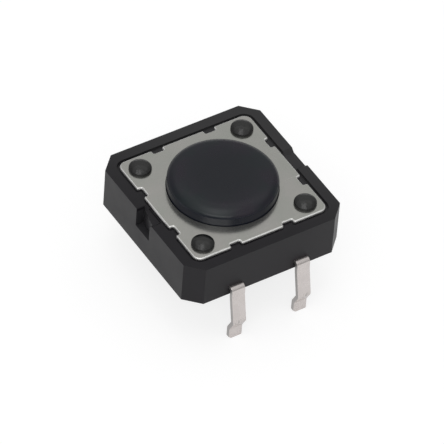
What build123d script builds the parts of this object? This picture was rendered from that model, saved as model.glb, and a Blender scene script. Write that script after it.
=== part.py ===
from build123d import *
import os
from math import sqrt

# A square push switch for a circuit board, in millimetres.
# The origin is on the board's surface under the middle of the housing, with +Z up.
# The legs leave the two sides that face -Y and +Y.

# Housing
housing_side = 12.0
housing_corner_cut = 1.06
rim_height = 3.15
rim_edge_radius = 0.08
well_floor = 0.9

# Cover plate
plate_side = 10.1
plate_corner_radius = 0.55
plate_thickness = 0.25
plate_proud = 0.06
plate_gap = 0.2
plate_edge_radius = 0.04
edge_notch_width = 0.8
edge_notch_depth = 0.32
edge_notch_spacing = 4.0
edge_notch_radius = 0.1

# Posts that hold the plate
post_inset = 1.12
post_shank_radius = 0.62
post_hole_clearance = 0.05
post_head_radius = 0.765
post_head_side = 0.18
post_head_crown = 0.22
post_head_round = 0.1

# Channels across the rim, and the gate pocket in one side
channel_depth = 0.26
channel_floor_width = 1.4
channel_top_width = 1.94
pocket_floor_height = 1.65
pocket_far_end = 0.92
pocket_near_end = 0.72
pocket_far_depth = 0.6
pocket_near_depth = 0.22

# Button
button_radius = 3.7
button_height = 4.3
button_shoulder_width = 1.2
button_shoulder_drop = 0.5
button_hole_clearance = 0.05
button_top_wall = 1.0
button_skirt_wall = 0.9
flange_overhang = 0.35
flange_thickness = 0.7
flange_side_clearance = 0.15
flange_play = 0.02
boss_radius = 1.0
boss_edge_cut = 0.12
boss_play = 0.02

# Snap dome
dome_radius = 3.5
dome_height = 0.5
dome_thickness = 0.08
dome_side_clearance = 0.1
dome_well_depth = 0.7
press_travel = 0.3

# Contact stampings and their legs
strip_thickness = 0.3
strip_bottom = 0.4
strip_width = 1.4
strip_end_margin = 0.6
arm_width = 1.2
centre_pad_radius = 0.8
rim_pad_radius = 0.5
leg_pitch = 5.0
leg_stand_off = 0.25
leg_width = 1.0
leg_bend_radius = 0.2
leg_splay = 0.4
leg_splay_start = -0.1
leg_kink_start = -2.2
leg_kink_end = -2.97
leg_kink_radius = 0.18
leg_length = 3.92
leg_tip_cut = 0.2
leg_tip_break = 0.05

# Levels and radii that follow from the sizes above
plate_top = rim_height + plate_proud
plate_bottom = plate_top - plate_thickness
recess_side = plate_side + 2 * plate_gap
recess_corner_radius = plate_corner_radius + plate_gap
post_spacing = plate_side - 2 * post_inset
channel_floor = rim_height - channel_depth
button_hole_radius = button_radius + button_hole_clearance
flange_radius = button_hole_radius + flange_overhang
flange_top = plate_bottom - flange_play
flange_bottom = flange_top - flange_thickness
well_radius = flange_radius + flange_side_clearance
dome_well_radius = dome_radius + dome_side_clearance
dome_top = well_floor + dome_height
dome_under = dome_top - dome_thickness
boss_bottom = dome_top + boss_play
strip_middle = strip_bottom + strip_thickness / 2
centre_pad_top = dome_under - press_travel
leg_row_pitch = housing_side + 2 * leg_stand_off


def square_outline(side, corner_radius):
    """A square with round corners, centred on the origin."""
    return RectangleRounded(side, side, corner_radius)


def grid_of_posts():
    """The four places where the posts stand."""
    return GridLocations(post_spacing, post_spacing, 2, 2)


def make_tray():
    """The housing's outer block with cut corners and a soft edge round its top."""
    outline = chamfer(Rectangle(housing_side, housing_side).vertices(), housing_corner_cut)
    block = extrude(outline, rim_height)
    return fillet(block.faces().sort_by(Axis.Z)[-1].edges(), rim_edge_radius)


def make_recess():
    """The square recess for the plate and the stepped round well below it."""
    recess = Pos(0, 0, plate_bottom) * extrude(
        square_outline(recess_side, recess_corner_radius), plate_thickness
    )
    well_depth = plate_bottom - well_floor - dome_well_depth
    upper_well = Pos(0, 0, well_floor + dome_well_depth) * extrude(Circle(well_radius), well_depth)
    dome_well = Pos(0, 0, well_floor) * extrude(Circle(dome_well_radius), dome_well_depth)
    return recess + upper_well + dome_well


def make_rim_channel():
    """The shallow channel with sloping ends that crosses the rim on the -X and +X sides."""
    slope = (channel_top_width - channel_floor_width) / 2
    rise_per_run = channel_depth / slope
    open_top = 2 * channel_depth
    top_half = channel_floor_width / 2 + open_top / rise_per_run
    floor_half = channel_floor_width / 2
    outline = Polyline(
        (-floor_half, channel_floor),
        (floor_half, channel_floor),
        (top_half, channel_floor + open_top),
        (-top_half, channel_floor + open_top),
        close=True,
    )
    return extrude(Plane.YZ * make_face(outline), housing_side / 2, both=True)


def make_gate_pocket():
    """The pocket in the -X side whose back wall runs at a slant, open at the channel's floor."""
    face_x = -housing_side / 2
    outline = Polyline(
        (2 * face_x, -pocket_near_end),
        (face_x + pocket_near_depth, -pocket_near_end),
        (face_x + pocket_far_depth, pocket_far_end),
        (2 * face_x, pocket_far_end),
        close=True,
    )
    pocket_height = rim_height - pocket_floor_height
    return Pos(0, 0, pocket_floor_height) * extrude(make_face(outline), pocket_height)


def make_post():
    """One post: a shank through the plate and a low crowned head formed over it."""
    shank = Pos(0, 0, plate_bottom) * extrude(Circle(post_shank_radius), plate_thickness)
    crown_top = post_head_side + post_head_crown
    crown_sphere = (post_head_radius**2 + post_head_crown**2) / (2 * post_head_crown)
    crown = RadiusArc((post_head_radius, post_head_side), (0, crown_top), -crown_sphere)
    rest = Polyline((0, crown_top), (0, 0), (post_head_radius, 0), (post_head_radius, post_head_side))
    head = revolve(Plane.XZ * make_face(Curve() + [crown, rest]), Axis.Z)
    shoulder = head.faces().sort_by(Axis.Z)[-1].edges().sort_by(Axis.Z)[0]
    return shank + Pos(0, 0, plate_top) * fillet(shoulder, post_head_round)


def make_plate():
    """The cover plate with its button hole, post holes and edge notches."""
    outline = square_outline(plate_side, plate_corner_radius)
    outline -= Circle(button_hole_radius)
    outline -= grid_of_posts() * Circle(post_shank_radius + post_hole_clearance)
    notch = Rectangle(2 * edge_notch_depth, edge_notch_width)
    notch = fillet(notch.vertices(), edge_notch_radius)
    for quarter_turn in range(4):
        side = Rot(0, 0, 90 * quarter_turn)
        for way in (-1, 1):
            outline -= side * Pos(plate_side / 2, way * edge_notch_spacing / 2) * notch
    plate = Pos(0, 0, plate_bottom) * extrude(outline, plate_thickness)
    rim_edges = plate.faces().sort_by(Axis.Z)[-1].outer_wire().edges()
    return fillet(rim_edges, plate_edge_radius)


def make_button():
    """The button with its broad shoulder, the flange that the plate holds down, and a boss on the dome."""
    top_radius = button_radius - button_shoulder_width
    skirt_top = button_height - button_shoulder_drop
    shoulder = EllipticalCenterArc(
        (top_radius, skirt_top), button_shoulder_width, button_shoulder_drop, arc_size=90
    )
    rest = Polyline(
        (top_radius, button_height),
        (0, button_height),
        (0, flange_bottom),
        (button_radius, flange_bottom),
        (button_radius, skirt_top),
    )
    cap = revolve(Plane.XZ * make_face(Curve() + [shoulder, rest]), Axis.Z)
    flange = Pos(0, 0, flange_bottom) * extrude(Circle(flange_radius), flange_thickness)
    hollow_top = button_height - button_top_wall
    hollow = Pos(0, 0, flange_bottom) * extrude(
        Circle(button_radius - button_skirt_wall), hollow_top - flange_bottom
    )
    boss = Pos(0, 0, boss_bottom) * extrude(Circle(boss_radius), hollow_top - boss_bottom)
    boss = chamfer(boss.edges().sort_by(Axis.Z)[0], boss_edge_cut)
    return cap + flange - hollow + boss


def make_dome():
    """The snap dome: a thin cap of a sphere that stands on its rim on the well's floor."""
    outer_sphere = (dome_radius**2 + dome_height**2) / (2 * dome_height)
    inner_sphere = outer_sphere - dome_thickness
    centre_height = dome_top - outer_sphere
    inner_rim = sqrt(inner_sphere**2 - (well_floor - centre_height) ** 2)
    outer_arc = RadiusArc((dome_radius, well_floor), (0, dome_top), -outer_sphere)
    inner_arc = RadiusArc((0, dome_under), (inner_rim, well_floor), inner_sphere)
    middle = Line((0, dome_top), (0, dome_under))
    foot = Line((inner_rim, well_floor), (dome_radius, well_floor))
    section = make_face(Curve() + [outer_arc, middle, inner_arc, foot])
    return revolve(Plane.XZ * section, Axis.Z)


def tip_corners(leg):
    """The short edges at a leg's tip, from its -X side to its +X side."""
    return leg.edges().filter_by(Axis.Y).group_by(Axis.Z)[0].sort_by(Axis.X)


def make_leg():
    """One leg on the -Y side at x = 0: out of the wall, down, splayed, kinked back in line and down."""
    upright = leg_row_pitch / 2
    splayed = upright + leg_splay
    start = housing_side / 2 - strip_end_margin
    path = FilletPolyline(
        (0, -start, strip_middle),
        (0, -upright, strip_middle),
        (0, -upright, leg_splay_start),
        (0, -splayed, leg_kink_start),
        (0, -upright, leg_kink_end),
        (0, -upright, -leg_length),
        radius=[leg_bend_radius, leg_kink_radius, leg_kink_radius, leg_kink_radius],
    )
    section = Plane(origin=(0, -start, strip_middle), x_dir=(1, 0, 0), z_dir=(0, -1, 0)) * Rectangle(
        leg_width, strip_thickness
    )
    leg = sweep(section, path)
    leg = chamfer(tip_corners(leg)[0], leg_tip_cut)
    return chamfer(tip_corners(leg)[-1], leg_tip_break)


def make_strip():
    """The flat middle of a contact stamping, which joins its two legs across the housing."""
    length = housing_side - 2 * strip_end_margin
    return Pos(0, 0, strip_bottom) * extrude(Rectangle(strip_width, length), strip_thickness)


def make_contact(x):
    """A contact stamping without its pads: the strip and both legs at one side of the middle."""
    leg = make_leg()
    return Pos(x, 0, 0) * (make_strip() + leg + mirror(leg, Plane.XZ))


def make_centre_contact():
    """The stamping whose arm ends in the raised pad under the middle of the dome."""
    arm_length = leg_pitch / 2
    arm = Pos(arm_length / 2, 0, strip_bottom) * extrude(Rectangle(arm_length, arm_width), strip_thickness)
    pad = Pos(0, 0, strip_bottom) * extrude(Circle(centre_pad_radius), centre_pad_top - strip_bottom)
    return make_contact(leg_pitch / 2) + arm + pad


def make_rim_contact():
    """The stamping whose two raised pads stand under the dome's rim."""
    x = -leg_pitch / 2
    pad_y = sqrt(dome_radius**2 - x**2)
    contact = make_contact(x)
    for way in (-1, 1):
        contact += Pos(x, way * pad_y, strip_bottom) * extrude(
            Circle(rim_pad_radius), well_floor - strip_bottom
        )
    return contact


def make_housing(contacts):
    """The whole moulding, formed round the two contact stampings."""
    housing = make_tray() - make_recess() - make_rim_channel() - make_gate_pocket()
    housing += grid_of_posts() * make_post()
    for contact in contacts:
        housing -= contact
    return housing


centre_contact = make_centre_contact()
rim_contact = make_rim_contact()
pieces = {
    "housing": make_housing([centre_contact, rim_contact]),
    "cover_plate": make_plate(),
    "button": make_button(),
    "snap_dome": make_dome(),
    "centre_contact": centre_contact,
    "rim_contact": rim_contact,
}

os.makedirs("parts", exist_ok=True)
for name, shape in pieces.items():
    export_step(shape, f"parts/{name}.step")
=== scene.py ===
# %% [markdown]
# A square push switch for a circuit board
#
# The switch is 12 mm square. Its body is a black moulding, a steel plate is held on top of it by
# four posts whose heads were pressed over, and a low round button comes up through the plate.
# Bright kinked legs snap into the board.
#
# The working model comes in first. It is already at its real size, so everything made below is
# placed from it and nothing is fitted by eye afterwards.

# %% Load the working model
from math import acos, asin, cos, degrees, hypot, pi, radians, sin, sqrt, tan

import bmesh
import bpy
import numpy as np
from mathutils import Matrix, Vector


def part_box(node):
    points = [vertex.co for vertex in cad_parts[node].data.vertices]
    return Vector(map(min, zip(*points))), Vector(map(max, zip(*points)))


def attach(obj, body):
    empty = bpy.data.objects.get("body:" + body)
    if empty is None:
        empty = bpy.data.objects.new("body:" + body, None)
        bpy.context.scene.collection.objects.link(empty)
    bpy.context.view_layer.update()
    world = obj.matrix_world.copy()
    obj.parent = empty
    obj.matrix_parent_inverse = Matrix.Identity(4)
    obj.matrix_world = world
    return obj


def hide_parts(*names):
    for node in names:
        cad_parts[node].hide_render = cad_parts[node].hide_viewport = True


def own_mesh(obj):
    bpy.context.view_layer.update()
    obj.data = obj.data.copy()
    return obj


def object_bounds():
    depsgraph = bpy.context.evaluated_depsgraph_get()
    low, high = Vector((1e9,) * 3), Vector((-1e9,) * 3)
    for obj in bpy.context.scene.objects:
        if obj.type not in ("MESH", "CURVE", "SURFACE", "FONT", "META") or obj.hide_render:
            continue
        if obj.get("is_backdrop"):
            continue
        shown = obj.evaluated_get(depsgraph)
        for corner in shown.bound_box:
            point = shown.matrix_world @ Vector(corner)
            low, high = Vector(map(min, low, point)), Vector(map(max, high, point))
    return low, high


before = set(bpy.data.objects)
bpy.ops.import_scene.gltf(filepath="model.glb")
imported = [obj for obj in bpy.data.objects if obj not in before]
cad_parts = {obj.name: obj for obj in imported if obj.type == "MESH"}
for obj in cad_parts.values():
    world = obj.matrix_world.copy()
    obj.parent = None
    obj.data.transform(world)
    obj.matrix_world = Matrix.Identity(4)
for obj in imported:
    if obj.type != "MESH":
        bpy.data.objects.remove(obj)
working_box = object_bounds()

print("nodes:", sorted(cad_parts))

# %% [markdown]
# Working in millimetres
#
# Blender counts in metres, and cuts and soft edges go wrong more easily on numbers as small as
# 0.00005. So each piece is built in millimetres and shrunk once, at its end. The sizes that the
# working model can tell are read from the boxes round its nodes.

# %% Read the main sizes
metres = 0.001


def node_box(name):
    """The lowest and highest corner of a node, in millimetres."""
    low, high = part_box(name)
    return low / metres, high / metres


housing_low, housing_high = node_box("housing")
plate_low, plate_high = node_box("cover_plate")
button_low, button_high = node_box("button")
leg_tip = node_box("rim_contact")[0].z
contact_reach = node_box("centre_contact")[1].x
housing_side = housing_high.x - housing_low.x
plate_side = plate_high.x - plate_low.x
plate_top = plate_high.z
plate_bottom = plate_low.z
print(f"housing {housing_side:.2f} mm square, plate {plate_side:.2f} mm square, "
      f"button top at {button_high.z:.2f} mm, leg tips at {leg_tip:.2f} mm")

# %% [markdown]
# Flat outlines
#
# Most pieces of a switch start as a flat outline: a punched blank, or the section of a mould. A
# few small helpers draw round stretches, squares, and a run through a list of corners with each
# corner rounded.


# %% Helpers for flat outlines
def arc(centre, radius, start, turn, steps):
    """Points along a round stretch. Start and turn are angles in degrees."""
    angles = [radians(start + turn * step / steps) for step in range(steps + 1)]
    return [(centre[0] + radius * cos(a), centre[1] + radius * sin(a)) for a in angles]


def circle(radius, steps):
    """Points round a full circle about the origin."""
    return arc((0, 0), radius, 0, 360, steps)[:-1]


def corner_arc(before, corner, after, radius, steps):
    """Points of the arc that rounds one corner of a run."""
    here = Vector(corner)
    to_last = (Vector(before) - here).normalized()
    to_next = (Vector(after) - here).normalized()
    half_angle = acos(to_last.dot(to_next)) / 2
    centre = here + (to_last + to_next).normalized() * radius / sin(half_angle)
    spoke = here + to_last * radius / tan(half_angle) - centre
    sweep = (pi - 2 * half_angle) * (1 if to_last.cross(to_next) < 0 else -1)
    turns = [Matrix.Rotation(sweep * step / steps, 2) for step in range(steps + 1)]
    return [tuple(centre + turn @ spoke) for turn in turns]


def round_corners(corners, radii, steps):
    """A closed outline through the given corners, each rounded to its own radius."""
    outline = []
    for index, (corner, radius) in enumerate(zip(corners, radii)):
        after = corners[(index + 1) % len(corners)]
        outline += corner_arc(corners[index - 1], corner, after, radius, steps)
    return outline


def square(side):
    """The corners of a square about the origin, anticlockwise."""
    half = side / 2
    return [(half, half), (-half, half), (-half, -half), (half, -half)]


# %% [markdown]
# From outlines to solids
#
# A straight block is an outline pushed upwards. A turned form, like the button, is a profile spun
# about its axis. Both are built with bmesh, which gives clean rings of faces and no spare points.
# Cuts use the exact boolean, because it keeps flat faces flat.


# %% Helpers for solids
def new_object(name, mesh):
    """Puts a finished bmesh into the scene as an object."""
    bmesh.ops.recalc_face_normals(mesh, faces=mesh.faces)
    data = bpy.data.meshes.new(name)
    mesh.to_mesh(data)
    mesh.free()
    piece = bpy.data.objects.new(name, data)
    bpy.context.scene.collection.objects.link(piece)
    return piece


def add_rings(mesh, rings, closed_ends=True):
    """Joins rings of points, one above the other, into a skin."""
    rows = [[mesh.verts.new(point) for point in ring] for ring in rings]
    for lower, upper in zip(rows, rows[1:]):
        for index in range(len(lower)):
            after = (index + 1) % len(lower)
            mesh.faces.new((lower[index], lower[after], upper[after], upper[index]))
    if closed_ends:
        mesh.faces.new(list(reversed(rows[0])))
        mesh.faces.new(rows[-1])
    return rows


def block(name, outline, bottom, top):
    """A straight block that stands on a flat outline."""
    mesh = bmesh.new()
    add_rings(mesh, [[(x, y, height) for x, y in outline] for height in (bottom, top)])
    return new_object(name, mesh)


def lathe(name, profile, steps):
    """Spins a profile of (radius, height) points, from the axis back to the axis, about Z."""
    mesh = bmesh.new()
    rings = [[(radius * x, radius * y, height) for x, y in circle(1, steps)]
             for radius, height in profile[1:-1]]
    rows = add_rings(mesh, rings, closed_ends=False)
    for end, row in ((profile[0], rows[0]), (profile[-1], rows[-1])):
        tip = mesh.verts.new((0, 0, end[1]))
        for index in range(steps):
            mesh.faces.new((tip, row[index], row[(index + 1) % steps]))
    return new_object(name, mesh)


def settle(piece):
    """Applies whatever modifiers a piece has."""
    depsgraph = bpy.context.evaluated_depsgraph_get()
    data = bpy.data.meshes.new_from_object(piece.evaluated_get(depsgraph))
    piece.modifiers.clear()
    piece.data = data


def combine(piece, other, operation, keep=False):
    """Cuts another solid out of a piece, or joins it on."""
    step = piece.modifiers.new(operation.lower(), "BOOLEAN")
    step.operation = operation
    step.solver = "EXACT"
    step.object = other
    settle(piece)
    if not keep:
        bpy.data.objects.remove(other)


# %% [markdown]
# Soft edges
#
# No moulded or punched edge is perfectly sharp, and the thin line of light along it is much of
# what makes a small part look real. The edges are found by the angle between their faces. A rule
# says how wide each one is rounded, so the rim can be softer than the cuts in it.


# %% Helpers for soft edges
sharp_angle = radians(34)
smooth_angle = radians(32)


def soften(piece, widest, share_of, segments=3):
    """Rounds each sharp edge to its share of the widest radius."""
    mesh = bmesh.new()
    mesh.from_mesh(piece.data)
    weight = mesh.edges.layers.float.new("bevel_weight_edge")
    for edge in mesh.edges:
        if len(edge.link_faces) == 2 and edge.calc_face_angle() > sharp_angle:
            edge[weight] = share_of((edge.verts[0].co + edge.verts[1].co) / 2, edge)
    mesh.to_mesh(piece.data)
    mesh.free()
    step = piece.modifiers.new("soft edges", "BEVEL")
    step.limit_method = "WEIGHT"
    step.width = widest
    step.segments = segments
    step.use_clamp_overlap = True
    step.miter_outer = "MITER_ARC"
    settle(piece)


def smooth(piece):
    """Shades round stretches smooth and keeps true corners crisp."""
    piece.data.polygons.foreach_set("use_smooth", [True] * len(piece.data.polygons))
    piece.data.set_sharp_from_angle(angle=smooth_angle)
    step = piece.modifiers.new("flat faces stay flat", "WEIGHTED_NORMAL")
    step.keep_sharp = True
    settle(piece)


# %% [markdown]
# The housing
#
# The real housing is one shot of black plastic: a square tray with cut corners, a square recess
# for the plate and a round well for the button. A channel crosses the rim on two sides, and on
# one of them the mould's gate left a pocket with a slanting back. It is cut from one block here,
# in the same order.

# %% Housing sizes
corner_cut = 1.06
rim_height = 3.15
well_floor = 0.9
plate_gap = 0.2
recess_side = plate_side + 2 * plate_gap
recess_corner_radius = 0.75
flange_radius = button_high.x
flange_clearance = 0.15
well_radius = flange_radius + flange_clearance
well_ledge = 1.6
dome_well_radius = 3.6
channel_depth = 0.26
channel_floor_half = 0.7
channel_top_half = 0.97
pocket_floor = 1.65
pocket_far_end, pocket_far_depth = 0.92, 0.6
pocket_near_end, pocket_near_depth = 0.72, 0.22
spare = 1.0  # how far a cutting block stands past what it cuts
above_rim = rim_height + spare


def cut_corner_square(half, cut):
    """A square with its four corners cut off, anticlockwise."""
    short = half - cut
    return [
        (half, -short), (half, short), (short, half), (-short, half),
        (-half, short), (-half, -short), (-short, -half), (short, -half),
    ]


# %% Housing block and cuts
housing = block("housing_moulding", cut_corner_square(housing_side / 2, corner_cut), 0, rim_height)
recess = round_corners(square(recess_side), [recess_corner_radius] * 4, steps=8)
combine(housing, block("recess", recess, plate_bottom, above_rim), "DIFFERENCE")
for radius, floor_height in ((well_radius, well_ledge), (dome_well_radius, well_floor)):
    well = block("well", circle(radius, steps=128), floor_height, above_rim)
    combine(housing, well, "DIFFERENCE")

# %% Channels and gate pocket
channel_floor = rim_height - channel_depth
slope_run = channel_top_half - channel_floor_half
recess_overlap = 0.1
channel_section = [
    (-channel_floor_half, channel_floor), (channel_floor_half, channel_floor),
    (channel_top_half + slope_run, rim_height + channel_depth),
    (-channel_top_half - slope_run, rim_height + channel_depth),
]
for side in (-1, 1):
    mesh = bmesh.new()
    reach = [side * (recess_side / 2 - recess_overlap), side * (housing_side / 2 + spare)]
    add_rings(mesh, [[(x, y, z) for y, z in channel_section] for x in reach])
    combine(housing, new_object("channel", mesh), "DIFFERENCE")

wall = -housing_side / 2
pocket = [
    (wall - spare, -pocket_near_end), (wall + pocket_near_depth, -pocket_near_end),
    (wall + pocket_far_depth, pocket_far_end), (wall - spare, pocket_far_end),
]
combine(housing, block("gate_pocket", pocket, pocket_floor, above_rim), "DIFFERENCE")
print("housing cut:", len(housing.data.polygons), "faces")

# %% [markdown]
# The posts
#
# Four posts stand up through the plate. A hot punch spread each one into a low crowned head that
# clamps the plate. A spun profile gives the crown its even curve. The posts belong to the same
# moulding, so they are joined to it and share its mesh.

# %% Posts
post_inset = 1.12
post_reach = plate_side / 2 - post_inset
post_shank_radius = 0.62
post_root = 0.3  # how deep a post reaches into the tray under the plate
post_head_radius = 0.765
post_head_side = 0.18
post_head_round = 0.1
post_head_top = housing_high.z
crown_steps, head_shoulder_steps = 8, 6


def post_profile():
    """The shank, the head's underside, its rounded shoulder and its crown."""
    crown_rise = post_head_top - plate_top - post_head_side
    crown_radius = (post_head_radius**2 + crown_rise**2) / (2 * crown_rise)
    crown_centre = post_head_top - crown_radius
    edge_radius = post_head_radius - post_head_round
    # The shoulder's arc touches the side and the crown's sphere from inside.
    edge_height = crown_centre + sqrt((crown_radius - post_head_round) ** 2 - edge_radius**2)
    lean = asin(edge_radius / (crown_radius - post_head_round))
    root = plate_bottom - post_root
    profile = [(0, root), (post_shank_radius, root)]
    profile += [(post_shank_radius, plate_top), (post_head_radius, plate_top)]
    turn = 90 - degrees(lean)
    profile += arc((edge_radius, edge_height), post_head_round, 0, turn, head_shoulder_steps)
    for step in range(1, crown_steps + 1):
        angle = lean * (1 - step / crown_steps)
        profile.append((crown_radius * sin(angle), crown_centre + crown_radius * cos(angle)))
    return profile


for side_x in (-1, 1):
    for side_y in (-1, 1):
        post = lathe("post", post_profile(), steps=64)
        post.data.transform(Matrix.Translation((side_x * post_reach, side_y * post_reach, 0)))
        combine(housing, post, "UNION")
print("posts joined:", len(housing.data.polygons), "faces")

# %% [markdown]
# Rounding the moulding
#
# The outer edge of the rim and the upright corners are the softest, as on the real moulding,
# where they help it out of the mould. The edges of the cuts are finer.

# %% Round the housing's edges
rim_edge_radius = 0.08
fine_edge_share = 0.38
face_margin = 0.01  # an edge whose middle is this near to a face lies on it
channel_reach = recess_side / 2 - 2 * recess_overlap


def housing_edge_share(middle, edge):
    """All of the width on the outside corners and the rim's outer edge, and less elsewhere."""
    across, along = abs(middle.x), abs(middle.y)
    outside = max(across, along) > housing_side / 2 - face_margin
    on_cut_corner = across + along > housing_side - corner_cut - face_margin
    in_channel = along < channel_top_half + 2 * face_margin and across > channel_reach
    if (outside or on_cut_corner) and not in_channel:
        return 1.0
    return fine_edge_share


soften(housing, rim_edge_radius, housing_edge_share)
print("housing:", len(housing.data.polygons), "faces")

# %% [markdown]
# The cover plate
#
# The plate is punched from a strip of thin steel. The punch drags the outer edge down a little as
# it goes through, so that edge is round, while the holes are crisp. In Blender the blank is a
# flat curve, filled, given a thickness and its round edge all in one go. A curve does that evenly
# even inside the notches, where a bevel on a mesh would pinch. The holes are cut afterwards and
# get a much finer edge.

# %% Plate outline
button_hole_radius = 3.75
post_hole_clearance = 0.05
post_hole_radius = post_shank_radius + post_hole_clearance
plate_corner_radius = 0.55
notch_half_width = 0.4
notch_depth = 0.32
notch_middle = 2.0
notch_inner_radius, notch_outer_radius = 0.1, 0.12
notch_steps = 6
plate_edge_radius = 0.1
plate_edge_steps = 2
weld_distance = 0.001
hole_edge_radius = 0.02


def plate_outline():
    """The plate's edge: four round corners and two notches in each side."""
    half = plate_side / 2
    side_corners = [((half, half), plate_corner_radius)]
    for middle in (notch_middle, -notch_middle):
        near, far = middle + notch_half_width, middle - notch_half_width
        side_corners += [
            ((near, half), notch_outer_radius), ((near, half - notch_depth), notch_inner_radius),
            ((far, half - notch_depth), notch_inner_radius), ((far, half), notch_outer_radius),
        ]
    corners, radii = [], []
    for quarter in range(4):
        for corner, radius in side_corners:
            corners.append(Matrix.Rotation(radians(90 * quarter), 2) @ Vector(corner))
            radii.append(radius)
    return round_corners(corners, radii, notch_steps)


def punched_blank(name, outline, bottom, top, edge_radius):
    """A flat blank with an even round edge."""
    curve = bpy.data.curves.new(name, "CURVE")
    curve.dimensions = "2D"
    curve.fill_mode = "BOTH"
    curve.extrude = (top - bottom) / 2 - edge_radius
    curve.bevel_depth = edge_radius
    curve.bevel_resolution = plate_edge_steps
    curve.offset = -edge_radius
    spline = curve.splines.new("POLY")
    spline.points.add(len(outline) - 1)
    for point, (x, y) in zip(spline.points, outline):
        point.co = (x, y, 0, 1)
    spline.use_cyclic_u = True
    drawn = bpy.data.objects.new(name, curve)
    bpy.context.scene.collection.objects.link(drawn)
    depsgraph = bpy.context.evaluated_depsgraph_get()
    data = bpy.data.meshes.new_from_object(drawn.evaluated_get(depsgraph))
    bpy.data.objects.remove(drawn)
    mesh = bmesh.new()
    mesh.from_mesh(data)
    bmesh.ops.remove_doubles(mesh, verts=mesh.verts, dist=weld_distance)
    bmesh.ops.translate(mesh, verts=mesh.verts, vec=(0, 0, (top + bottom) / 2))
    return new_object(name, mesh)


# %% Punch the plate
plate = punched_blank("steel_plate", plate_outline(), plate_bottom, plate_top, plate_edge_radius)
post_hole = circle(post_hole_radius, steps=48)
holes = [circle(button_hole_radius, steps=160)]
for side_x in (-1, 1):
    for side_y in (-1, 1):
        holes.append([(x + side_x * post_reach, y + side_y * post_reach) for x, y in post_hole])
for hole in holes:
    combine(plate, block("punch", hole, plate_bottom - spare, plate_top + spare), "DIFFERENCE")


def hole_edge_share(middle, edge):
    """All of the width round the holes, and nothing on the blank's outer edge."""
    band = notch_depth + 2 * plate_edge_radius
    on_outside = max(abs(middle.x), abs(middle.y)) > plate_side / 2 - band
    upright = abs(edge.verts[0].co.z - edge.verts[1].co.z) > hole_edge_radius
    return 0.0 if on_outside or upright else 1.0


soften(plate, hole_edge_radius, hole_edge_share, segments=2)
smooth(plate)
print("plate:", len(plate.data.polygons), "faces")

# %% [markdown]
# The button
#
# The button is round all over, so one profile spun about its axis makes it: the flange that the
# plate holds down, the skirt, the broad soft shoulder and the boss inside that presses the snap
# dome. The shoulder gets many steps, because a highlight runs along it, and a few rings on the
# flat top keep its faces short.

# %% Button
button_radius = 3.7
button_shoulder_width, button_shoulder_drop = 1.2, 0.5
button_hollow_radius = 2.8
button_top_wall = 1.0
flange_play = 0.02
flange_top = plate_bottom - flange_play
flange_thickness = 0.7
boss_radius = 1.0
boss_edge = 0.12
button_fine_edge = 0.05
edge_steps, button_shoulder_steps = 4, 24
top_rings = (1.8, 1.0, 0.4)


def button_profile():
    """From the boss's end, out along the hollow and the flange, and up over the shoulder."""
    low, high = button_low.z, button_high.z
    hollow_top = high - button_top_wall
    flange_bottom = flange_top - flange_thickness
    edge = button_fine_edge
    profile = [(0, low), (boss_radius - boss_edge, low), (boss_radius, low + boss_edge)]
    profile += [(boss_radius, hollow_top), (button_hollow_radius, hollow_top)]
    profile += [(button_hollow_radius, flange_bottom)]
    profile += arc((flange_radius - edge, flange_bottom + edge), edge, -90, 90, edge_steps)
    profile += arc((flange_radius - edge, flange_top - edge), edge, 0, 90, edge_steps)
    profile += [(button_radius, flange_top)]
    for across, upward in arc((0, 0), 1, 0, 90, button_shoulder_steps):
        profile.append((button_radius - button_shoulder_width * (1 - across),
                        high - button_shoulder_drop * (1 - upward)))
    profile += [(radius, high) for radius in top_rings]
    return profile + [(0, high)]


button = lathe("round_button", button_profile(), steps=192)
smooth(button)
print("button:", len(button.data.polygons), "faces")

# %% [markdown]
# The contacts and their legs
#
# Each pair of opposite legs is one strip of plated metal that runs through the housing. A strip
# keeps its section wherever it bends, so the section is carried along a path: down a leg, round
# the kink, through the middle and out to the other leg. Only its width changes, and that is given
# as a table of distances from the tip, which also makes the cut corner at each tip.

# %% Contact sizes
strip_thickness = 0.3
strip_middle_height = 0.55
strip_half_width = 0.7
strip_end_margin = 0.6
leg_half_width = 0.5
leg_stand_off = 0.25
leg_bend_radius = 0.2
leg_kink_radius = 0.18
leg_splay = 0.399  # a hair under the working model's 0.4, so that no bend reaches past its box
leg_splay_start = -0.1
leg_kink_start, leg_kink_end = -2.2, -2.97
tip_cut, tip_break = 0.2, 0.05
strip_edge_radius = 0.03
bend_steps, section_steps = 10, 3


def half_path():
    """The strip's middle line, as (y, z) points from the housing's centre to a leg's tip."""
    upright = -(housing_side / 2 + leg_stand_off)
    splayed = upright - leg_splay
    corners = [
        (0, strip_middle_height), (upright, strip_middle_height), (upright, leg_splay_start),
        (splayed, leg_kink_start), (upright, leg_kink_end), (upright, leg_tip),
    ]
    radii = [leg_bend_radius, leg_kink_radius, leg_kink_radius, leg_kink_radius]
    path = [corners[0]]
    for before, corner, after, radius in zip(corners, corners[1:], corners[2:], radii):
        path += corner_arc(before, corner, after, radius, bend_steps)
    return path + [corners[-1]]


# %% Carry the section along the strip
def along(path):
    """How far each point of a path is from its start."""
    steps = [hypot(b[0] - a[0], b[1] - a[1]) for a, b in zip(path, path[1:])]
    return np.concatenate([[0.0], np.cumsum(steps)])


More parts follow.
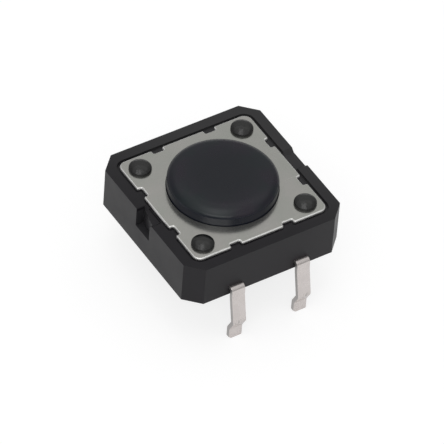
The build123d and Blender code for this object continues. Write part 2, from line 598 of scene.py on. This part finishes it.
def strip_sections():
    """One half of the strip: the place, direction and width at each station, from the tip in."""
    path = half_path()[::-1]
    travel = along(path)
    shoulder = travel[-1] - (housing_side / 2 - strip_end_margin)
    edge = strip_edge_radius
    # Distance from the tip, reach to -X, reach to +X, and how much the thickness shrinks each side.
    widths = np.array([
        (0, leg_half_width - tip_cut - edge, leg_half_width - tip_break - edge, edge),
        (edge, leg_half_width - tip_cut + edge, leg_half_width - tip_break + edge, 0),
        (tip_break, leg_half_width - tip_cut + tip_break, leg_half_width, 0),
        (tip_cut, leg_half_width, leg_half_width, 0),
        (shoulder, leg_half_width, leg_half_width, 0),
        (shoulder + edge, strip_half_width, strip_half_width, 0),
    ])
    stations = np.unique(np.round(np.concatenate([travel, widths[:, 0]]), 6))
    places = np.column_stack([np.interp(stations, travel, reach) for reach in zip(*path)])
    sizes = np.column_stack([np.interp(stations, widths[:, 0], column) for column in widths.T[1:]])
    steps = np.diff(places, axis=0)
    steps /= np.linalg.norm(steps, axis=1)[:, None]
    heading = np.vstack([steps[:1], steps[1:] + steps[:-1], steps[-1:]])
    heading /= np.linalg.norm(heading, axis=1)[:, None]
    return places, heading, sizes


def strip_ring(x, place, heading, size):
    """The rounded section of the strip at one station."""
    to_low, to_high, thinner = size
    half = strip_thickness / 2 - thinner
    corners = [(to_high, half), (-to_low, half), (-to_low, -half), (to_high, -half)]
    section = round_corners(corners, [strip_edge_radius] * 4, section_steps)
    return [(x + across, place[0] - heading[1] * through, place[1] + heading[0] * through)
            for across, through in section]


def contact_strip(name, x):
    """A whole contact strip with both of its legs, its middle over x."""
    places, heading, sizes = strip_sections()
    rings = [strip_ring(x, *station) for station in zip(places, heading, sizes)]
    far_half = [[(px, -py, pz) for px, py, pz in ring] for ring in rings[-2::-1]]
    # The far half is the near one mirrored, so its points stay in step with the near ones.
    mesh = bmesh.new()
    add_rings(mesh, rings + far_half)
    return new_object(name, mesh)


# %% Make both contacts
dome_top = 1.4
dome_thickness = 0.08
press_travel = 0.3
strip_bottom = strip_middle_height - strip_thickness / 2
strip_top = strip_middle_height + strip_thickness / 2
centre_pad_radius, rim_pad_radius = 0.8, 0.5
arm_half_width = 0.6
dome_radius = 3.5
leg_pitch = 2 * (contact_reach - strip_half_width)

centre_contact = contact_strip("centre_contact_strip", leg_pitch / 2)
arm = [
    (0, -arm_half_width), (leg_pitch / 2, -arm_half_width),
    (leg_pitch / 2, arm_half_width), (0, arm_half_width),
]
combine(centre_contact, block("arm", arm, strip_bottom, strip_top), "UNION")
pad_top = dome_top - dome_thickness - press_travel
centre_pad = block("pad", circle(centre_pad_radius, steps=48), strip_bottom, pad_top)
combine(centre_contact, centre_pad, "UNION")

rim_contact = contact_strip("rim_contact_strip", -leg_pitch / 2)
rim_pad = circle(rim_pad_radius, steps=32)
pad_reach = sqrt(dome_radius**2 - (leg_pitch / 2) ** 2)
for side in (-1, 1):
    outline = [(x - leg_pitch / 2, y + side * pad_reach) for x, y in rim_pad]
    combine(rim_contact, block("pad", outline, strip_bottom, well_floor), "UNION")

for contact in (centre_contact, rim_contact):
    smooth(contact)
    combine(housing, contact, "DIFFERENCE", keep=True)
    print(contact.name, len(contact.data.polygons), "faces")
smooth(housing)

# %% [markdown]
# The snap dome
#
# Under the button lies a thin springy disc, pressed into a shallow dome. Pushed far enough it
# snaps flat on to the pad in the middle, which is the click. Nobody sees it in a closed switch,
# but it gives way under the button, so it is drawn too, at rest, its rim on the floor of the well.


# %% Snap dome
dome_height = dome_top - well_floor
dome_steps = 16


def dome_profile():
    """From under the middle, out along the hollow side to the rim, and back over the top."""
    outer = (dome_radius**2 + dome_height**2) / (2 * dome_height)
    inner = outer - dome_thickness
    centre = (0, dome_top - outer)
    inner_foot = degrees(asin((well_floor - centre[1]) / inner))
    outer_foot = degrees(asin((well_floor - centre[1]) / outer))
    under = arc(centre, inner, 90, inner_foot - 90, dome_steps)
    over = arc(centre, outer, outer_foot, 90 - outer_foot, dome_steps)
    return [(0, dome_top - dome_thickness)] + under[1:] + over[:-1] + [(0, dome_top)]


dome = lathe("spring_disc", dome_profile(), steps=96)
smooth(dome)
print("dome:", len(dome.data.polygons), "faces")

# %% [markdown]
# Finishes
#
# A finish is a few numbers on the Principled shader, and then whatever makes the real surface
# less than perfect: a grain that bends the light a little, and patches that are slightly rougher
# or darker. All the patterns are given their real size, so a grain of 0.1 mm is 0.1 mm on every
# piece. Small helpers add the nodes, so that each finish below reads as a list of what its
# surface does.


# %% Helpers that start a finish and wire it up
def start_finish(name, colour, roughness, metallic=0.0, ior=1.5):
    """A new material with the same numbers all over."""
    finish = bpy.data.materials.new(name)
    finish.use_nodes = True
    skin = finish.node_tree.nodes["Principled BSDF"]
    skin.inputs["Base Color"].default_value = (*colour, 1)
    skin.inputs["Roughness"].default_value = roughness
    skin.inputs["Metallic"].default_value = metallic
    skin.inputs["IOR"].default_value = ior
    return finish, skin


def add_node(finish, kind, inputs, **settings):
    """Adds a node. An input is either a plain value or another node's output."""
    node = finish.node_tree.nodes.new("ShaderNode" + kind)
    for setting, value in settings.items():
        setattr(node, setting, value)
    for socket, value in inputs.items():
        if isinstance(value, bpy.types.NodeSocket):
            finish.node_tree.links.new(value, node.inputs[socket])
        else:
            node.inputs[socket].default_value = value
    return node


def connect(finish, skin, **sockets):
    """Links patterns to the shader's sockets."""
    for socket, value in sockets.items():
        finish.node_tree.links.new(value, skin.inputs[socket.replace("_", " ")])


# %% Helpers for grain and bumps
noise_detail = 3.0
noise_low, noise_high = 0.3, 0.7  # nearly all of a noise lies between these
tint_low, tint_high = 0.35, 0.65


def surface_place(finish):
    """Where a point of the surface is, in metres."""
    return add_node(finish, "TexCoord", {}).outputs["Object"]


def grain(finish, size, stretch=(1, 1, 1)):
    """A noise with patches of about a size in millimetres, stretched along an axis if asked."""
    scale = [1 / (size * metres * factor) for factor in stretch]
    inputs = {"Vector": surface_place(finish), "Scale": scale}
    place = add_node(finish, "Mapping", inputs).outputs["Vector"]
    inputs = {"Vector": place, "Scale": 1.0, "Detail": noise_detail}
    return add_node(finish, "TexNoise", inputs).outputs["Fac"]


def spread(finish, pattern, low, high):
    """Stretches a noise's middle values over a range."""
    inputs = {
        "Value": pattern, "From Min": noise_low, "From Max": noise_high,
        "To Min": low, "To Max": high,
    }
    return add_node(finish, "MapRange", inputs).outputs["Result"]


def tint(finish, pattern, one, other):
    """A colour that drifts between two."""
    ramp = add_node(finish, "ValToRGB", {"Fac": pattern})
    ends = zip(ramp.color_ramp.elements, (tint_low, tint_high), (one, other))
    for end, position, colour in ends:
        end.position, end.color = position, (*colour, 1)
    return ramp.outputs["Color"]


def bumps(finish, layers):
    """Stacks layers, each a pattern and its depth in millimetres, and gives the bent normal."""
    normal = None
    for pattern, depth in layers:
        inputs = {"Height": pattern, "Distance": depth * metres}
        if normal:
            inputs["Normal"] = normal
        normal = add_node(finish, "Bump", inputs).outputs["Normal"]
    return normal


# %% Helpers that tell one part of a surface from another
along_x, along_y, along_z = (1, 0, 0), (0, 1, 0), (0, 0, 1)


def fade(finish, value, low, high):
    """0 below one value and 1 above another, with a smooth change between them."""
    inputs = {"Value": value, "From Min": low, "From Max": high}
    return add_node(finish, "MapRange", inputs, interpolation_type="SMOOTHSTEP").outputs["Result"]


def times(finish, *patterns):
    """The product of a few patterns."""
    product = patterns[0]
    for pattern in patterns[1:]:
        step = add_node(finish, "Math", {0: product, 1: pattern}, operation="MULTIPLY")
        product = step.outputs["Value"]
    return product


def between(finish, value, low, high, edge):
    """1 between two values and 0 outside them, with soft edges of a width inside them."""
    rise, fall = fade(finish, value, low, low + edge), fade(finish, value, high, high - edge)
    return times(finish, rise, fall)


def place_along(finish, axis):
    """How far a point of the surface is along an axis, in millimetres."""
    inputs = {0: surface_place(finish), 1: [part / metres for part in axis]}
    return add_node(finish, "VectorMath", inputs, operation="DOT_PRODUCT").outputs["Value"]


def from_axis(finish):
    """How far a point of the surface is from the upright axis, in millimetres."""
    inputs = {0: surface_place(finish), 1: (1 / metres, 1 / metres, 0)}
    flat = add_node(finish, "VectorMath", inputs, operation="MULTIPLY").outputs["Vector"]
    return add_node(finish, "VectorMath", {0: flat}, operation="LENGTH").outputs["Value"]


def inside_box(finish, low, high, edge):
    """1 inside a box, given by its lowest and highest corner, and 0 outside it."""
    sides = zip((along_x, along_y, along_z), low, high)
    return times(finish, *[between(finish, place_along(finish, axis), start, end, edge)
                           for axis, start, end in sides])


def facing(finish, axis):
    """1 where the surface faces along an axis, either way, and 0 where it is edge on."""
    inputs = {0: add_node(finish, "NewGeometry", {}).outputs["Normal"], 1: axis}
    turned = add_node(finish, "VectorMath", inputs, operation="DOT_PRODUCT").outputs["Value"]
    return add_node(finish, "Math", {0: turned}, operation="ABSOLUTE").outputs["Value"]


def blend(finish, share, one, other):
    """One number where the share is 0 and the other where it is 1. Either can be a pattern."""
    return add_node(finish, "Mix", {0: share, 2: one, 3: other}, data_type="FLOAT").outputs[0]


def blend_colours(finish, share, one, other):
    """The same for colours."""
    one, other = [(*colour, 1) if isinstance(colour, tuple) else colour for colour in (one, other)]
    return add_node(finish, "Mix", {0: share, 6: one, 7: other}, data_type="RGBA").outputs[2]


# %% [markdown]
# Black plastic
#
# The housing and the button are both black, but not the same black. Black plastic gets nearly all
# its light from its gloss, so the roughness and the IOR, which sets how strong the gloss is,
# matter more than the colour.
#
# The housing is moulded with a fine eroded texture and is neutral. It is greyer towards its far
# corner. Inside the gate pocket it is painted paler: painted light, standing in for light that
# hardly reaches into the recess. The limits of the pocket come from the sizes that cut it.

# %% Moulded black for the housing
grey_start, grey_end = -4, 5  # along the diagonal to the far corner
mask_edge, mask_margin = 0.02, 0.05

moulded_black, skin = start_finish("moulded_black", (0.01, 0.0095, 0.0105), 0.4, ior=1.37)
fine, patch = grain(moulded_black, 0.09), grain(moulded_black, 1.6)
even = tint(moulded_black, patch, (0.009, 0.008, 0.0105), (0.012, 0.0108, 0.014))
diagonal = place_along(moulded_black, (0.707, 0.707, 0))
towards_far_corner = fade(moulded_black, diagonal, grey_start, grey_end)
greyer = blend_colours(moulded_black, towards_far_corner, even, (0.033, 0.0325, 0.034))
# Painted light: the gate pocket's walls are painted paler, as if more light reached into the
# recess.
pocket_painted_light = inside_box(
    moulded_black,
    (wall + mask_edge / 2, -pocket_near_end - rim_edge_radius, pocket_floor - mask_margin),
    (wall + pocket_far_depth + mask_margin, pocket_far_end + rim_edge_radius, channel_floor),
    mask_edge,
)
connect(
    moulded_black, skin,
    Base_Color=blend_colours(moulded_black, pocket_painted_light, greyer, (0.029, 0.0285, 0.0315)),
    Roughness=spread(moulded_black, patch, 0.36, 0.44),
    Normal=bumps(moulded_black, [(patch, 0.004), (fine, 0.0012)]),
)

# %% [markdown]
# The pressed heads
#
# The heads of the posts belong to the same moulding, but the hot punch left them another surface:
# glossy and a little uneven on the crown, and dull round the side. Their colour is also painted
# darker where the crown turns down into the side: painted shade. A gloss of its own needs an IOR
# of its own, so the heads get a second material and not a pattern in the first one.

# %% Pressed black for the heads of the posts
# Each pair says how squarely a face looks up, where a change starts and where it is complete.
crown_limits, crown_middle_limits = (0.35, 0.9), (0.8, 1.0)

pressed_black, skin = start_finish("pressed_black", (0.014, 0.0143, 0.0135), 0.2, ior=1.55)
fine, patch, press_marks = [grain(pressed_black, size) for size in (0.09, 1.6, 0.32)]
upward = facing(pressed_black, along_z)
# Painted shade: the colour darkens from the crown's middle towards its edge and down the side.
crown_clear_of_painted_shade = fade(pressed_black, upward, *crown_middle_limits)
on_crown = fade(pressed_black, upward, *crown_limits)
connect(
    pressed_black, skin,
    Base_Color=blend_colours(
        pressed_black, crown_clear_of_painted_shade, (0.005, 0.005, 0.005), (0.014, 0.0143, 0.0135)),
    Roughness=blend(pressed_black, on_crown, 0.5, 0.2),
    Normal=bumps(pressed_black, [(patch, 0.004), (fine, 0.0012), (press_marks, 0.03)]),
)

# %% [markdown]
# The button's satin black
#
# The button is smoother than the housing and faintly blue. Its top is painted darker in the middle
# and lighter towards its edge, a painted sheen, and its upright skirt is bluer than its top and
# painted darker, as painted shade. Both are told apart by where a point is and which way it faces.

# %% Satin black for the button
darkest_top_radius, painted_sheen_radius = 1.2, 3.2
top_limits = (0.1, 0.7)  # how squarely a face looks up where the top's colour starts and is full

satin_black, skin = start_finish("satin_black", (0.009, 0.0115, 0.018), 0.33, ior=1.45)
fine, patch = grain(satin_black, 0.07), grain(satin_black, 1.7)
even = tint(satin_black, patch, (0.0125, 0.0095, 0.0185), (0.0055, 0.0115, 0.0145))
# Painted sheen: the top's colour is darker in the middle and lighter towards its edge.
top_middle_without_painted_sheen = fade(satin_black, from_axis(satin_black), painted_sheen_radius, darkest_top_radius)
top_colour = blend_colours(satin_black, top_middle_without_painted_sheen, even, (0.0048, 0.0066, 0.0118))
# Painted shade: the upright skirt is painted darker than the top, and bluer.
unshaded_top = fade(satin_black, facing(satin_black, along_z), *top_limits)
connect(
    satin_black, skin,
    Base_Color=blend_colours(satin_black, unshaded_top, (0.005, 0.0075, 0.018), top_colour),
    Roughness=spread(satin_black, patch, 0.26, 0.33),
    Normal=bumps(satin_black, [(patch, 0.005), (fine, 0.0006)]),
)

# %% [markdown]
# Rolled steel
#
# Sheet steel keeps the direction that it was rolled in, as faint streaks. Here a noise stretched
# along X is both a shallow bump and a change of roughness. Where the punch went through, round
# the plate's rim and its holes, the metal is torn: bright, rough and a little uneven. The
# direction that the surface faces tells that edge from the rolled face.

# %% Rolled steel for the plate
face_limits = (0.93, 0.985)  # the same for the rolled face

rolled_steel, skin = start_finish("rolled_steel", (0.54, 0.54, 0.51), 0.17, metallic=0.93)
streak, patch = grain(rolled_steel, 0.05, stretch=(12, 1, 1)), grain(rolled_steel, 2.2)
on_face = fade(rolled_steel, facing(rolled_steel, along_z), *face_limits)
face_colour = tint(rolled_steel, patch, (0.52, 0.53, 0.49), (0.56, 0.55, 0.52))
torn_colour = tint(rolled_steel, grain(rolled_steel, 0.3), (0.88, 0.88, 0.86), (1.0, 1.0, 0.98))
connect(
    rolled_steel, skin,
    Base_Color=blend_colours(rolled_steel, on_face, torn_colour, face_colour),
    Roughness=blend(rolled_steel, on_face, 0.5, spread(rolled_steel, streak, 0.17, 0.23)),
    Normal=bumps(rolled_steel, [(patch, 0.002), (streak, 0.0005)]),
)

# %% [markdown]
# Plated and springy strip
#
# The plating on the legs is softer and brighter than the plate's steel, with an even grain and
# slight patches where it took thicker. The punched sides of the legs are duller than their faces.
# The bending tool scored the face at the kink, along the leg, so a noise stretched along Z
# darkens a band there. The snap dome is plain spring strip with long fine streaks.

# %% Bright plating for the contacts
side_limits, score_limits = (0.5, 0.9), (0.5, 0.6)
score_reach, score_edge = 0.3, 0.2

bright_plating, skin = start_finish("bright_plating", (0.75, 0.7, 0.68), 0.26, metallic=1.0)
fine, patch = grain(bright_plating, 0.06), grain(bright_plating, 0.7)
on_side = fade(bright_plating, facing(bright_plating, along_x), *side_limits)
face_colour = tint(bright_plating, patch, (0.72, 0.67, 0.65), (0.775, 0.725, 0.705))
at_kink = between(
    bright_plating, place_along(bright_plating, along_z),
    leg_kink_start - score_reach, leg_kink_start + score_reach, score_edge,
)
scratches = grain(bright_plating, 0.09, stretch=(1, 1, 8))
scores = fade(bright_plating, scratches, *score_limits)
scored = times(bright_plating, at_kink, scores)
face_colour = blend_colours(bright_plating, scored, face_colour, (0.52, 0.49, 0.47))
connect(
    bright_plating, skin,
    Base_Color=blend_colours(bright_plating, on_side, face_colour, (0.56, 0.54, 0.53)),
    Roughness=blend(bright_plating, on_side, spread(bright_plating, patch, 0.22, 0.31), 0.42),
    Normal=bumps(bright_plating, [(patch, 0.0015), (fine, 0.0005)]),
)

# %% Spring strip for the dome
spring_strip, skin = start_finish("spring_strip", (0.6, 0.6, 0.58), 0.22, metallic=1.0)
streak = grain(spring_strip, 0.04, stretch=(1, 14, 1))
connect(
    spring_strip, skin,
    Roughness=spread(spring_strip, streak, 0.18, 0.28),
    Normal=bumps(spring_strip, [(streak, 0.0004)]),
)
print("finishes:", ", ".join(
    finish.name for finish in
    (moulded_black, pressed_black, satin_black, rolled_steel, bright_plating, spring_strip)))

# %% [markdown]
# Putting the pieces in place
#
# Each piece is shrunk to metres, given its finish and tied to the body that it moves with, and its
# node in the working model is hidden. The faces of the posts over the plate then take the pressed
# black. The dome gets a mesh of its own.


# %% Hand the pieces over
def hand_over(piece, finish, body, node):
    """Shrinks a piece to metres and ties it to the working model."""
    piece.data.transform(Matrix.Scale(metres, 4))
    piece.data.materials.clear()
    piece.data.materials.append(finish)
    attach(piece, body)
    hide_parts(node)


hand_over(housing, moulded_black, "switch_body", "housing")
hand_over(plate, rolled_steel, "switch_body", "cover_plate")
hand_over(centre_contact, bright_plating, "switch_body", "centre_contact")
hand_over(rim_contact, bright_plating, "switch_body", "rim_contact")
hand_over(button, satin_black, "push_button", "button")
hand_over(dome, spring_strip, "switch_body", "snap_dome")
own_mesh(dome)

# %% Give the heads their own finish
head_margin = 0.001
housing.data.materials.append(pressed_black)
heads = [face for face in housing.data.polygons
         if face.center.z > (plate_top + head_margin) * metres]
for face in heads:
    face.material_index = 1
print("pressed heads:", len(heads), "faces")

# %% [markdown]
# The camera
#
# The viewing angle was worked out from the switch's own straight edges, whose real lengths are
# known. The camera stands far off behind a long lens, as it does for a small product on a table,
# and is tipped a little to one side.

# %% Camera
camera_azimuth, camera_elevation, camera_roll = radians(-35.0), radians(45.12), radians(-4.7)
camera_distance = 0.3477
camera_lens = 428.1
camera_shift = (0.0052, -0.0033)


def direction(azimuth, elevation):
    """The way to a place round the switch. Azimuth 0 is the side of the near legs, -Y."""
    level = cos(elevation)
    return Vector((sin(azimuth) * level, -cos(azimuth) * level, sin(elevation)))


back = direction(camera_azimuth, camera_elevation)
level_right = Vector((cos(camera_azimuth), sin(camera_azimuth), 0))
level_up = back.cross(level_right)
right = level_right * cos(camera_roll) - level_up * sin(camera_roll)
up = level_right * sin(camera_roll) + level_up * cos(camera_roll)
camera = bpy.data.objects.new("camera", bpy.data.cameras.new("camera"))
camera.data.lens = camera_lens
camera.data.shift_x, camera.data.shift_y = camera_shift
camera.data.clip_start, camera.data.clip_end = 0.01, 10
turned = Matrix((right, up, back)).transposed().to_4x4()
camera.matrix_world = Matrix.Translation(back * camera_distance) @ turned
bpy.context.scene.collection.objects.link(camera)
bpy.context.scene.camera = camera
print(f"camera {camera_distance:.3f} m off with a {camera_lens:.0f} mm lens")

# %% [markdown]
# The table
#
# The switch stands on a white table. Making paper look this white with lamps alone would take so
# much light that the switch turned pale. So the table glows instead: most towards the camera, and
# more weakly in what the gloss and the metal mirror, while no extra light falls on the switch.
# What is left of its paper colour takes the soft shadow. Seen from below the table is clear, so
# that the underside can be looked at too.

# %% Table
table_size = 4.0
paper_white = 0.82
glow_strength = 1.3
glow_share_seen, glow_share_mirrored = 0.6, 0.3

table_white = bpy.data.materials.new("table_white")
table_white.use_nodes = True
table_white.node_tree.nodes.clear()
rays = add_node(table_white, "LightPath", {}).outputs
inputs = {0: rays["Is Glossy Ray"], 1: rays["Is Transmission Ray"]}
mirrored = add_node(table_white, "Math", inputs, operation="MAXIMUM").outputs["Value"]
share = times(table_white, mirrored, glow_share_mirrored)
inputs = {0: rays["Is Camera Ray"], 1: glow_share_seen, 2: share}
share = add_node(table_white, "Math", inputs, operation="MULTIPLY_ADD").outputs["Value"]

paper = add_node(table_white, "BsdfDiffuse", {"Color": (paper_white, paper_white, paper_white, 1)})
glow = add_node(table_white, "Emission", {"Color": (1, 1, 1, 1), "Strength": glow_strength})
clear = add_node(table_white, "BsdfTransparent", {})
inputs = {"Fac": share, 1: paper.outputs["BSDF"], 2: glow.outputs["Emission"]}
from_above = add_node(table_white, "MixShader", inputs).outputs["Shader"]
below = add_node(table_white, "NewGeometry", {}).outputs["Backfacing"]
inputs = {"Fac": below, 1: from_above, 2: clear.outputs["BSDF"]}
both_sides = add_node(table_white, "MixShader", inputs).outputs["Shader"]
add_node(table_white, "OutputMaterial", {"Surface": both_sides})

mesh = bmesh.new()
corners = [(x, y, leg_tip) for x, y in square(table_size / metres)]
mesh.faces.new([mesh.verts.new(corner) for corner in corners])
table = new_object("table", mesh)
table.data.transform(Matrix.Scale(metres, 4))
table.data.materials.append(table_white)
table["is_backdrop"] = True
print(f"table {table_size:.0f} m wide, {-leg_tip:.2f} mm under the board's surface")

# %% [markdown]
# The light
#
# Black plastic and steel mostly show what they mirror, so each lamp is placed by what one face
# sees. A small bright one stands by the camera, for what faces it: the near side of the skirt and
# the plate in front of it mirror it between them. A dimmer one above it is for the slopes that
# lean back. The one overhead draws the highlights along the button's shoulder and on the post
# heads. Dim ones to the left and right, on the ceiling and behind fill the faces that would go
# dead, and the flat tops mirror the one behind. Together with the plain grey room they are just
# so bright that a plain colour comes out about as it is written.


# %% Lamps
def lamp(name, azimuth, elevation, distance, width, height, brightness):
    """A flat soft lamp that faces the switch. A brightness of 1 looks white."""
    light = bpy.data.lights.new(name, "AREA")
    light.shape = "RECTANGLE"
    light.size, light.size_y = width, height
    light.energy = brightness * pi * width * height
    holder = bpy.data.objects.new(name, light)
    towards = direction(radians(azimuth), radians(elevation))
    holder.location = towards * distance
    holder.rotation_euler = towards.to_track_quat("Z", "Y").to_euler()
    bpy.context.scene.collection.objects.link(holder)


# Name, azimuth and elevation in degrees, distance, width and height in metres, and brightness.
lamps = [
    ("front", -39, 42, 0.6, 0.42, 0.17, 2.85),
    ("high_front", -50, 65, 0.6, 0.3, 0.34, 0.62),
    ("overhead", -130, 87, 0.6, 0.28, 0.2, 1.2),
    ("left", -95, 40, 0.6, 0.4, 0.4, 0.2),
    ("right", 25, 40, 0.6, 0.4, 0.4, 0.24),
    ("ceiling", 145, 89, 0.62, 0.9, 0.9, 0.32),
    ("behind", 145, 46, 0.62, 0.7, 0.45, 0.18),
]
for settings in lamps:
    lamp(*settings)

# %% The room round it
room_brightness = 0.33

room = bpy.data.worlds.new("room")
room.use_nodes = True
background = room.node_tree.nodes["Background"]
background.inputs["Color"].default_value = (1, 1, 1, 1)
background.inputs["Strength"].default_value = room_brightness
bpy.context.scene.world = room
bpy.context.scene.view_settings.view_transform = "Standard"
print("lamps:", ", ".join(settings[0] for settings in lamps))

# %% [markdown]
# Last look at the size
#
# The dressed switch must keep the working model's size, so both boxes are written side by side.

# %% Print both sizes and finish
dressed_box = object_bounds()
boxes = {
    "working": [list(corner) for corner in working_box],
    "dressed": [list(corner) for corner in dressed_box],
}
for name, (low, high) in boxes.items():
    print(name, "box in mm:", [round((b - a) / metres, 3) for a, b in zip(low, high)])
